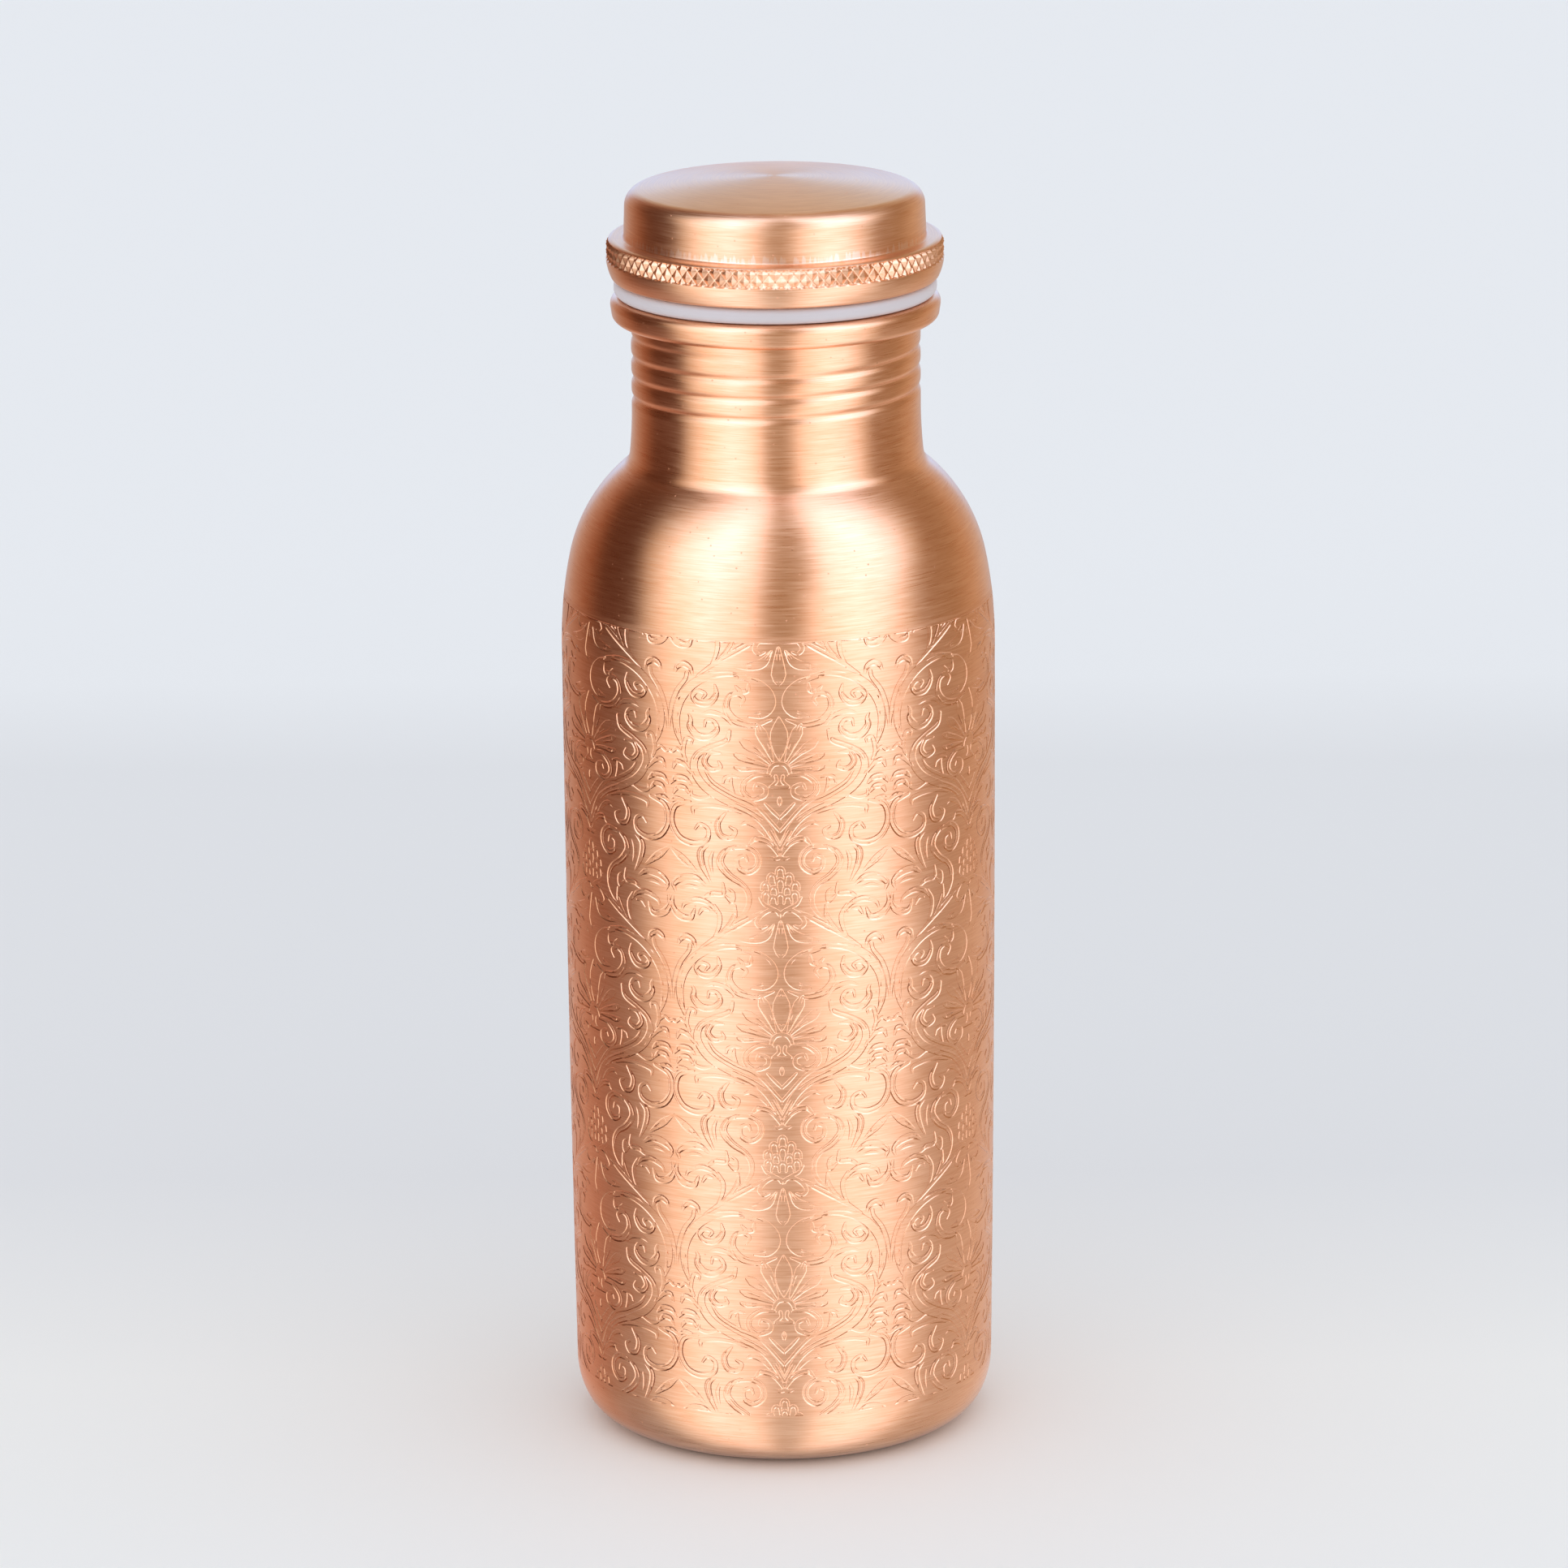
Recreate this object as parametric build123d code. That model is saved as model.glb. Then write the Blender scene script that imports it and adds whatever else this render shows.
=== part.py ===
"""Copper water bottle with a screw cap, one STEP file for each piece.

Millimetres, +Z up. The origin is the centre of the ring that the bottle stands on.
Every copper piece is bent sheet, so each is one section of even thickness, spun
round the Z axis: straight runs and tangent bends, drawn along the outer face.
"""
import math
import os

from build123d import *

# Body shell
BODY_SHEET = 0.8
BASE_RECESS = 1.2          # height of the base's raised middle above the standing ring
RECESS_RADIUS = 19.0       # where the middle starts to drop to the ring
RECESS_BEND = 2.5
RING_RADIUS = 25.2         # outer edge of the flat standing ring
CORNER_BENDS = [(12.0, 25.0), (7.0, 40.0), (13.0, 24.3)]    # radius, turn in degrees
WALL_BEND = (10130.0, 0.7)                                  # the wall is almost straight
SHOULDER_BENDS = [(70.4, 11.9), (26.9, 38.1)]
NECK_FILLET = 3.05
NECK_LEAN = 6.0            # degrees from upright at the foot of the neck
NECK_RADIUS = 23.6         # outer face of the neck's straight, threaded part
NECK_STRAIGHT_START = 173.4
NECK_STRAIGHT_TOP = 187.2

# Bead curled outwards at the mouth
MOUTH_HEIGHT = 191.4
BEAD_RADIUS = 26.9
BEAD_TOP_BEND = 1.4
BEAD_LIP_BEND = 1.2
BEAD_TAPER = 8.0           # degrees that the bead's side leans in towards its lip
BEAD_LIP_HEIGHT = 187.4
BEAD_LIP_RADIUS = 25.0     # where the curled edge ends, just clear of the neck

# Thread rolled through the neck, and its match round the plug
PITCH = 3.3
THREAD_START = 174.1       # height where the neck's turns begin
THREAD_START_ANGLE = 120.0
THREAD_TURNS = 3.5
GROOVE_RADIUS = 0.6        # section radius of the groove seen outside
THREAD_DEPTH = 0.45        # of the groove outside and of the ridge inside
RIDGE_RADIUS = 0.65        # section radius of the ridge inside
RIDGE_AXIS_RADIUS = NECK_RADIUS - BODY_SHEET - THREAD_DEPTH + RIDGE_RADIUS
THREAD_GAP = 0.25          # play between the neck's thread and the plug's

# Cap shell
CAP_SHEET = 0.7
CAP_HEIGHT = 210.8
DOME_RADIUS = 130.0
DOME_EDGE_RADIUS = 22.1    # where the dome turns into the edge bend
DOME_EDGE_BEND = 2.8
SIDE_FLARE = 2.0           # degrees that the side leans outwards
FLANGE_TOP = 201.0
FLANGE_FILLET = 0.4
FLANGE_RADIUS = 27.5
FLANGE_TOP_BEND = 1.2
KNURL_FOOT = 198.1         # below this the flange curves in
FLANGE_LIP_BENDS = [(8.0, 25.0), (0.9, 65.0)]
HEM_RADIUS = 24.6          # inner edge of the hem turned in under the plug's flange

# Cap plug
PLUG_SHEET = 0.8
PLUG_RADIUS = NECK_RADIUS - BODY_SHEET - THREAD_GAP
PLUG_BOTTOM = 171.5
PLUG_BOTTOM_BEND = 1.5
PLUG_FLANGE_RADIUS = 25.7
PLUG_FLANGE_BEND = 0.4
PLUG_GROOVE_EXTRA = 0.1    # turns past the top of the neck's thread
HEM_GAP = 0.05             # between the hem and the plug's flange

# Seal ring
SEAL_INNER_RADIUS = 22.9
SEAL_OUTER_RADIUS = 26.3
SEAL_GAP = 0.1             # above the mouth and below the hem
SEAL_OUTER_ROUND = 1.1
SEAL_INNER_ROUND = 0.4


class Sheet:
    """The section of a bent sheet, from its outer face's start point and heading."""

    def __init__(self, radius, height, heading):
        self.start = (radius, height, heading)
        self.radius = radius
        self.height = height
        self.heading = heading
        self.steps = []

    def run(self, length):
        self.steps.append((length, 0.0))
        self.radius += length * math.cos(math.radians(self.heading))
        self.height += length * math.sin(math.radians(self.heading))

    def run_to_radius(self, radius):
        self.run((radius - self.radius) / math.cos(math.radians(self.heading)))

    def run_to_height(self, height):
        self.run((height - self.height) / math.sin(math.radians(self.heading)))

    def bend(self, bend_radius, turn):
        """Turn left by a positive angle and right by a negative one."""
        self.steps.append((bend_radius, turn))
        side = math.copysign(bend_radius, turn)
        old = math.radians(self.heading)
        new = math.radians(self.heading + turn)
        self.radius += side * (math.sin(new) - math.sin(old))
        self.height += side * (math.cos(old) - math.cos(new))
        self.heading += turn

    def face_edges(self, shift):
        """The edges of one face of the sheet, shifted to the left of the outer face."""
        radius, height, heading = self.start
        angle = math.radians(heading)
        point = Vector(radius - shift * math.sin(angle), height + shift * math.cos(angle))
        edges = []
        for size, turn in self.steps:
            ahead = Vector(math.cos(math.radians(heading)), math.sin(math.radians(heading)))
            if turn == 0.0:
                edge = Line(point, point + ahead * size)
            else:
                edge = JernArc(point, ahead, size - math.copysign(1.0, turn) * shift, turn)
            edges.append(edge)
            point = edge @ 1
            heading += turn
        return edges

    def spin(self, shift):
        """Spin the section, with its inner face shifted to the left of the outer one."""
        outer = self.face_edges(0.0)
        inner = self.face_edges(shift)
        cuts = [Line(outer[0] @ 0, inner[0] @ 0), Line(outer[-1] @ 1, inner[-1] @ 1)]
        return revolve(Plane.XZ * make_face(outer + inner + cuts), Axis.Z)


def helical_bar(axis_radius, bar_radius, start, turns):
    """A round bar wound right-handed about Z, up from the thread's start angle."""
    path = Helix(PITCH, PITCH * turns, axis_radius, center=(0, 0, start))
    section = Plane(path @ 0, x_dir=(0, 0, 1), z_dir=path % 0) * Circle(bar_radius)
    return Rot(0, 0, THREAD_START_ANGLE) * sweep(section, path, is_frenet=True)


def threaded_neck():
    """The neck's straight part: a tube with a groove outside and its ridge inside."""
    low_end = (Align.CENTER, Align.CENTER, Align.MIN)
    length = NECK_STRAIGHT_TOP - NECK_STRAIGHT_START
    tube = Cylinder(NECK_RADIUS, length, align=low_end)
    tube -= Cylinder(NECK_RADIUS - BODY_SHEET, length, align=low_end)
    tube = Pos(0, 0, NECK_STRAIGHT_START) * tube
    ridge = helical_bar(RIDGE_AXIS_RADIUS, RIDGE_RADIUS, THREAD_START, THREAD_TURNS)
    groove_axis_radius = NECK_RADIUS - THREAD_DEPTH + GROOVE_RADIUS
    groove = helical_bar(groove_axis_radius, GROOVE_RADIUS, THREAD_START, THREAD_TURNS)
    return tube + ridge - groove


def curled_bead():
    """The mouth's bead; its sheet's outer face runs on inside the hollow of the curl."""
    sheet = Sheet(NECK_RADIUS, NECK_STRAIGHT_TOP, 90.0)
    curl_bend = BEAD_TOP_BEND - BODY_SHEET
    sheet.run_to_height(MOUTH_HEIGHT - BEAD_TOP_BEND)
    sheet.bend(curl_bend, -90.0)
    sheet.run_to_radius(BEAD_RADIUS - BEAD_TOP_BEND)
    sheet.bend(curl_bend, -90.0 - BEAD_TAPER)
    lip_bend = BEAD_LIP_BEND - BODY_SHEET
    lip_depth = BODY_SHEET + lip_bend * (1 - math.sin(math.radians(BEAD_TAPER)))
    sheet.run_to_height(BEAD_LIP_HEIGHT + lip_depth)
    sheet.bend(lip_bend, -90.0 + BEAD_TAPER)
    sheet.run_to_radius(BEAD_LIP_RADIUS)
    return sheet.spin(BODY_SHEET)


def body_shell():
    """Base, wall, shoulder, threaded neck and curled bead, all one sheet."""
    sheet = Sheet(0.0, BASE_RECESS, 0.0)
    sheet.run_to_radius(RECESS_RADIUS)
    drop_turn = math.degrees(math.acos(1 - BASE_RECESS / (2 * RECESS_BEND)))
    sheet.bend(RECESS_BEND, -drop_turn)
    sheet.bend(RECESS_BEND, drop_turn)
    sheet.run_to_radius(RING_RADIUS)
    for bend_radius, turn in CORNER_BENDS + [WALL_BEND] + SHOULDER_BENDS:
        sheet.bend(bend_radius, turn)
    sheet.bend(NECK_FILLET, 90.0 + NECK_LEAN - sheet.heading)
    foot_bend = (sheet.radius - NECK_RADIUS) / (1 - math.cos(math.radians(NECK_LEAN)))
    sheet.bend(foot_bend, -NECK_LEAN)
    sheet.run_to_height(NECK_STRAIGHT_START)
    return sheet.spin(BODY_SHEET) + threaded_neck() + curled_bead()


def cap_shell():
    """Dome, side and knurled flange, with the sheet's edge hemmed in underneath."""
    sheet = Sheet(0.0, CAP_HEIGHT, 0.0)
    sheet.bend(DOME_RADIUS, -math.degrees(math.asin(DOME_EDGE_RADIUS / DOME_RADIUS)))
    sheet.bend(DOME_EDGE_BEND, -90.0 + SIDE_FLARE - sheet.heading)
    fillet_drop = FLANGE_FILLET * (1 - math.sin(math.radians(SIDE_FLARE)))
    sheet.run_to_height(FLANGE_TOP + fillet_drop)
    sheet.bend(FLANGE_FILLET, -sheet.heading)
    sheet.run_to_radius(FLANGE_RADIUS - FLANGE_TOP_BEND)
    sheet.bend(FLANGE_TOP_BEND, -90.0)
    sheet.run_to_height(KNURL_FOOT)
    for bend_radius, turn in FLANGE_LIP_BENDS:
        sheet.bend(bend_radius, -turn)
    hem_height = sheet.height
    sheet.run_to_radius(HEM_RADIUS)
    return sheet.spin(-CAP_SHEET), hem_height


def cap_plug(hem_height):
    """The threaded cup under the cap, with its flange held on top of the hem."""
    sheet = Sheet(0.0, PLUG_BOTTOM, 0.0)
    sheet.run_to_radius(PLUG_RADIUS - PLUG_BOTTOM_BEND)
    sheet.bend(PLUG_BOTTOM_BEND, 90.0)
    sheet.run_to_height(hem_height + CAP_SHEET + HEM_GAP - PLUG_FLANGE_BEND)
    sheet.bend(PLUG_FLANGE_BEND, -90.0)
    sheet.run_to_radius(PLUG_FLANGE_RADIUS)
    turns_below = math.ceil((THREAD_START - PLUG_BOTTOM) / PITCH)
    groove_start = THREAD_START - turns_below * PITCH
    groove_turns = turns_below + THREAD_TURNS + PLUG_GROOVE_EXTRA
    groove = helical_bar(RIDGE_AXIS_RADIUS, RIDGE_RADIUS + THREAD_GAP, groove_start, groove_turns)
    return sheet.spin(PLUG_SHEET) - groove


def seal_ring(hem_height):
    """A rounded silicone ring between the mouth's bead and the cap's hem."""
    low = MOUTH_HEIGHT + SEAL_GAP
    high = hem_height - SEAL_GAP
    width = SEAL_OUTER_RADIUS - SEAL_INNER_RADIUS
    middle = (SEAL_OUTER_RADIUS + SEAL_INNER_RADIUS) / 2
    section = Pos(middle, (low + high) / 2) * Rectangle(width, high - low)
    outer_corners = section.vertices().group_by(Axis.X)[-1]
    section = fillet(outer_corners, SEAL_OUTER_ROUND)
    inner_corners = section.vertices().group_by(Axis.X)[0]
    section = fillet(inner_corners, SEAL_INNER_ROUND)
    return revolve(Plane.XZ * section, Axis.Z)


os.makedirs("parts", exist_ok=True)
cap, hem_bottom = cap_shell()
pieces = {
    "body_shell": body_shell(),
    "cap_shell": cap,
    "cap_plug": cap_plug(hem_bottom),
    "seal_ring": seal_ring(hem_bottom),
}
for name, piece in pieces.items():
    export_step(piece, f"parts/{name}.step")
    print(f"{name}: {piece.volume / 1000:.2f} cm3, valid {piece.is_valid}")
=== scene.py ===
"""Copper water bottle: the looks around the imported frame. Metres, +Z up."""
import bpy
import math
import mathutils
import numpy as np
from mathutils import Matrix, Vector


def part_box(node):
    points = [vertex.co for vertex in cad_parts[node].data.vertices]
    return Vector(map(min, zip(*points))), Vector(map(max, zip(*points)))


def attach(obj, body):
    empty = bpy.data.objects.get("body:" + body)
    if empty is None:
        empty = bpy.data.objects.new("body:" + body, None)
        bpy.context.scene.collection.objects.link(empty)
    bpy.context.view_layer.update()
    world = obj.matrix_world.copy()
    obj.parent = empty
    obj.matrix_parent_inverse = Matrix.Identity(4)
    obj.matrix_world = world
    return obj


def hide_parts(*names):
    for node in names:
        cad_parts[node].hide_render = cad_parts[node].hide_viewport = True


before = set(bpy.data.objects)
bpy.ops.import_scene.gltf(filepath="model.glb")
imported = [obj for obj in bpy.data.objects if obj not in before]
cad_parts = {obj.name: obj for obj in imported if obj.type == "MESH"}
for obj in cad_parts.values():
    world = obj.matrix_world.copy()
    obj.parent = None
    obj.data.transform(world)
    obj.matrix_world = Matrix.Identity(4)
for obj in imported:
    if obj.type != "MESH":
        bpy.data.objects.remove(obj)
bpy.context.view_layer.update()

MM = 0.001
body_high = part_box("body_shell")[1]
cap_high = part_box("cap_shell")[1]

# Millimetres from here on, until a mesh is made. A bend is (radius, degrees turned).
MOUTH_HEIGHT = body_high.z / MM
CAP_HEIGHT = cap_high.z / MM
FLANGE_RADIUS = cap_high.x / MM

BODY_SHEET = 0.8
BASE_RECESS = 1.2
RECESS_RADIUS = 19.0
RECESS_BEND = 2.5
RING_RADIUS = 25.2
CORNER_BENDS = [(12.0, 25.0), (7.0, 40.0), (13.0, 24.3)]
WALL_BEND = (10130.0, 0.7)
WALL_RADIUS = 35.6          # at its widest
WALL_FOOT = 5.0             # heights between which wall_radius() looks for the wall
WALL_TOP = 150.0
SHOULDER_BENDS = [(70.4, 11.9), (26.9, 38.1)]
NECK_FILLET = 3.05
NECK_LEAN = 6.0
NECK_RADIUS = 23.6
NECK_STRAIGHT_START = 173.4
BEAD_RADIUS = 26.9
BEAD_TOP_BEND = 1.4
BEAD_LIP_BEND = 1.2
BEAD_TAPER = 8.0
BEAD_LIP_HEIGHT = 187.4
BEAD_LIP_RADIUS = 25.0

PITCH = 3.3
THREAD_START = 174.1
THREAD_START_ANGLE = math.radians(120.0)
THREAD_TURNS = 3.5
THREAD_DEPTH = 0.45
THREAD_WIDTH = 0.55
THREAD_START_FADE = 0.12    # turns over which the groove's ends run out
THREAD_END_FADE = 0.5
THREAD_MARGIN = 0.1

SIDES = 240                 # of the bottle's lathe meshes
PANEL_SHEET = 0.3
PANEL_GAP = 0.02            # between the engraved skin's back and the shell

CAP_SHEET = 0.7
DOME_RADIUS = 130.0
DOME_EDGE_RADIUS = 22.1
DOME_EDGE_BEND = 2.8
SIDE_FLARE = 2.0
FLANGE_TOP = 201.0
FLANGE_FILLET = 0.4
FLANGE_TOP_BEND = 1.2
FLANGE_FOOT = 198.1
KNURL_COUNT = 86
KNURL_TOP = 200.7
KNURL_FOOT = 197.6
KNURL_RISE = 2.5            # height of one knurl point
KNURL_SHIFT = 0.7
KNURL_DEPTH = 0.50
KNURL_FADE = 0.25
KNURL_STEP = 0.105          # between the knurled rows
KNURL_MARGIN = 0.1          # rows are added this far past the knurl,
KNURL_REACH = 1.0           # and this far in from the flange's edge
KNURL_SIDES = 12            # per knurl point, on the knurled rows
PLAIN_SIDES = 4             # per knurl point, on the others
FLANGE_LIP_BENDS = [(8.0, 25.0), (0.9, 65.0)]
HEM_RADIUS = 24.6

NO_STEP = 1e9               # a run kept in one piece
ON_AXIS = 1e-6


class Outline:
    """One face of a bent sheet, drawn as runs and bends from a start and a heading. A step is
    the length of a run, or the degrees of a bend, between two of its points."""

    def __init__(self, radius, height, heading):
        self.steps = []
        self.start = (radius, height, heading)
        self.radius = radius
        self.height = height
        self.heading = heading

    def run(self, length, step=NO_STEP):
        self.steps.append((length, 0.0, step))
        self.radius += length * math.cos(math.radians(self.heading))
        self.height += length * math.sin(math.radians(self.heading))

    def run_to_radius(self, radius, step=NO_STEP):
        self.run((radius - self.radius) / math.cos(math.radians(self.heading)), step)

    def run_to_height(self, height, step=NO_STEP):
        self.run((height - self.height) / math.sin(math.radians(self.heading)), step)

    def bend(self, bend_radius, turn, step=6.0):
        self.steps.append((bend_radius, turn, step))
        side = math.copysign(bend_radius, turn)
        old = math.radians(self.heading)
        new = math.radians(self.heading + turn)
        self.radius += side * (math.sin(new) - math.sin(old))
        self.height += side * (math.cos(old) - math.cos(new))
        self.heading += turn

    def face(self, shift):
        """The points of the face that lies shift to the left of the drawn one."""
        radius, height, heading = self.start
        angle = math.radians(heading)
        radius -= shift * math.sin(angle)
        height += shift * math.cos(angle)
        points = [(radius, height)]
        for size, turn, step in self.steps:
            angle = math.radians(heading)
            if turn == 0.0:
                count = max(1, math.ceil(size / step))
                for k in range(1, count + 1):
                    along = size * k / count
                    points.append((radius + along * math.cos(angle), height + along * math.sin(angle)))
            else:
                side = math.copysign(1.0, turn) * size - shift
                count = max(2, math.ceil(abs(turn) / step))
                for k in range(1, count + 1):
                    new = angle + math.radians(turn) * k / count
                    across = side * (math.sin(new) - math.sin(angle))
                    up = side * (math.cos(angle) - math.cos(new))
                    points.append((radius + across, height + up))
            radius, height = points[-1]
            heading += turn
        return points


def add_piece(mesh, body, materials):
    """The mesh as a named piece that rides on one body."""
    piece = bpy.data.objects.new(mesh.name, mesh)
    bpy.context.scene.collection.objects.link(piece)
    for material in materials:
        mesh.materials.append(material)
    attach(piece, body)
    return piece


def spin(name, outline, sides, body, material, shape, sharp=40.0):
    """A lathe mesh from a closed outline of (radius, height), with one count of sides or one
    for each row; shape(radius, height, angle) moves points in or out."""
    outline = np.array(outline)
    counts = [sides] * len(outline) if isinstance(sides, int) else sides
    index = []
    points = []
    for (radius, height), count in zip(outline, counts):
        if radius < ON_AXIS:
            index.append(np.full(count, len(points)))
            points.append((0.0, 0.0, height * MM))
            continue
        index.append(len(points) + np.arange(count))
        angle = np.arange(count) / count * 2 * math.pi
        ring = np.full(count, radius)
        ring = ring + shape(ring, np.full(count, height), angle)
        rise = np.full(count, height * MM)
        points.extend(zip(ring * np.cos(angle) * MM, ring * np.sin(angle) * MM, rise))
    closed = not (outline[0, 0] < ON_AXIS and outline[-1, 0] < ON_AXIS)
    faces = []
    for row in range(len(outline) - (0 if closed else 1)):
        below, above = index[row], index[(row + 1) % len(outline)]
        shared = min(len(below), len(above))
        low_step, high_step = len(below) // shared, len(above) // shared
        for k in range(shared):
            corners = [below[(k * low_step + j) % len(below)] for j in range(low_step + 1)]
            corners += [above[(k * high_step + j) % len(above)] for j in range(high_step, -1, -1)]
            faces.append(list(dict.fromkeys(int(c) for c in corners)))
    mesh = bpy.data.meshes.new(name)
    mesh.from_pydata([tuple(map(float, p)) for p in points], [], faces)
    mesh.validate()
    mesh.shade_smooth()
    mesh.set_sharp_from_angle(angle=math.radians(sharp))
    return add_piece(mesh, body, [material])


# -------- node helpers
def node(tree, kind, **values):
    """A new shader node with some of its settings."""
    made = tree.nodes.new("ShaderNode" + kind)
    for key, value in values.items():
        setattr(made, key, value)
    return made


def math_node(tree, operation, first, second=None):
    """The result of one sum on sockets or plain numbers."""
    made = node(tree, "Math", operation=operation)
    for socket, value in zip(made.inputs, (first, second)):
        if value is None:
            continue
        if isinstance(value, (int, float)):
            socket.default_value = value
        else:
            tree.links.new(value, socket)
    return made.outputs[0]


def from_axis(tree, x, y):
    """Distance from the upright axis."""
    squares = math_node(tree, "MULTIPLY", x, x), math_node(tree, "MULTIPLY", y, y)
    return math_node(tree, "POWER", math_node(tree, "ADD", *squares), 0.5)


def azimuth(tree, x, y):
    """Share of a turn round the upright axis, 0.5 towards the camera's side."""
    around = math_node(tree, "ARCTAN2", x, math_node(tree, "MULTIPLY", y, -1.0))
    return math_node(tree, "ADD", math_node(tree, "DIVIDE", around, 2 * math.pi), 0.5)


def colour_ramp(tree, value, stops):
    """A colour ramp with its first and last stops at 0 and 1."""
    ramp = node(tree, "ValToRGB")
    elements = ramp.color_ramp.elements
    for element, (_, colour) in zip(elements, (stops[0], stops[-1])):
        element.color = (*colour, 1.0)
    for position, colour in stops[1:-1]:
        elements.new(position).color = (*colour, 1.0)
    tree.links.new(value, ramp.inputs[0])
    return ramp.outputs[0]


def turn_bands(bands):
    """Stops for a ramp over azimuth(), from (degrees from the camera's side, colour)."""
    return [(turn / 360 + 0.5, colour) for turn, colour in bands]


def map_range(tree, value, low, high, to_low=0.0, to_high=1.0, kind="SMOOTHSTEP"):
    """Low to high mapped onto another range, and held beyond its ends."""
    made = node(tree, "MapRange", interpolation_type=kind)
    limits = ("From Min", low), ("From Max", high), ("To Min", to_low), ("To Max", to_high)
    for key, number in limits:
        made.inputs[key].default_value = number
    tree.links.new(value, made.inputs["Value"])
    return made.outputs[0]


def blend(tree, share, first, second, kind="MIX"):
    """Two colours mixed by a share; each is a socket or a plain colour."""
    made = node(tree, "Mix", data_type="RGBA", blend_type=kind)
    tree.links.new(share, made.inputs["Factor"])
    for socket, value in ((made.inputs[6], first), (made.inputs[7], second)):
        if isinstance(value, tuple):
            socket.default_value = (*value, 1.0)
        else:
            tree.links.new(value, socket)
    return made.outputs[2]


# -------- copper
# Scales are per metre, reliefs in metres
COPPER = (0.93, 0.50, 0.28)
CAP_COPPER = (0.93, 0.53, 0.31)
EDGE_COPPER = (0.92, 0.48, 0.27)
SCUFF_COLOUR = (0.97, 0.74, 0.60)
PIT_COLOUR = (0.30, 0.12, 0.06)
FINE_GRAIN = (5600.0, 220.0)        # across the brush marks and along them
BROAD_GRAIN = (2400.0, 100.0)
FINE_SHARE = 0.75
GRAIN_SHARE = 0.75                  # of the tone; the rest is the blotches'
BLOTCH_SCALE = 90.0
TONE_STOPS = (0.37, 0.63)
DARK_TONE = (0.90, 0.82, 0.76)      # times the tint
LIGHT_TONE = (1.07, 1.16, 1.24)
GRAIN_RANGE = (0.3, 0.7)            # of the noise
GRAIN_RELIEF = 0.00002
GRAIN_STRENGTH = 0.30
ROUGHNESS_SPREAD = (-0.05, 0.06)
SPECK_SCALE = 1100.0
SPECK_RARITY = 0.80
SPECK_RADIUS = 0.16                 # as a share of a cell
SPECK_ROUGHNESS = 0.35
PIT_SCALE = 420.0
PIT_RARITY = 0.86
PIT_RADIUS = 0.055
PIT_STRENGTH = 0.45
SCRAPE_SCALES = (1900.0, 1900.0, 130.0)
SCRAPE_LEVELS = (0.42, 0.80)        # noise that shows as a scuff, at the low and the high end
SCRAPE_LEAD = 0.2                   # mm below the low end where the scuffs begin
SCRAPE_CONTRAST = 6.0
SCRAPE_STRENGTH = 0.55


def streaks(tree, x, y, z, across, along):
    """Noise drawn out round the upright axis."""
    joined = node(tree, "CombineXYZ")
    tree.links.new(math_node(tree, "MULTIPLY", x, along), joined.inputs[0])
    tree.links.new(math_node(tree, "MULTIPLY", z, across), joined.inputs[1])
    tree.links.new(math_node(tree, "MULTIPLY", from_axis(tree, x, y), across), joined.inputs[2])
    noise = node(tree, "TexNoise", noise_dimensions="4D")
    tree.links.new(joined.outputs[0], noise.inputs["Vector"])
    tree.links.new(math_node(tree, "MULTIPLY", y, along), noise.inputs["W"])
    noise.inputs["Scale"].default_value = 1.0
    noise.inputs["Detail"].default_value = 2.0
    return noise.outputs[0]


def weigh(tree, share, first, second):
    """Two values mixed, the first one's share given."""
    rest = math_node(tree, "MULTIPLY", second, 1.0 - share)
    return math_node(tree, "ADD", math_node(tree, "MULTIPLY", first, share), rest)


def scattered(tree, place, scale, rarity, radius):
    """1 inside round spots in a few of a Voronoi texture's cells."""
    cells = node(tree, "TexVoronoi")
    cells.inputs["Scale"].default_value = scale
    tree.links.new(place, cells.inputs["Vector"])
    chosen = math_node(tree, "GREATER_THAN", cells.outputs["Color"], rarity)
    near = math_node(tree, "LESS_THAN", cells.outputs["Distance"], radius)
    return math_node(tree, "MULTIPLY", chosen, near)


def grain_tone(tree, place, grain, tint):
    """The copper's colour, mottled along the grain and in soft blotches."""
    blotch = node(tree, "TexNoise")
    blotch.inputs["Scale"].default_value = BLOTCH_SCALE
    blotch.inputs["Detail"].default_value = 6.0
    tree.links.new(place, blotch.inputs["Vector"])
    tone = node(tree, "ValToRGB")
    for element, position, factors in zip(tone.color_ramp.elements, TONE_STOPS, (DARK_TONE, LIGHT_TONE)):
        element.position = position
        element.color = (*(min(part * factor, 1.0) for part, factor in zip(tint, factors)), 1.0)
    tree.links.new(weigh(tree, GRAIN_SHARE, grain, blotch.outputs[0]), tone.inputs[0])
    return tone.outputs[0]


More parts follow.
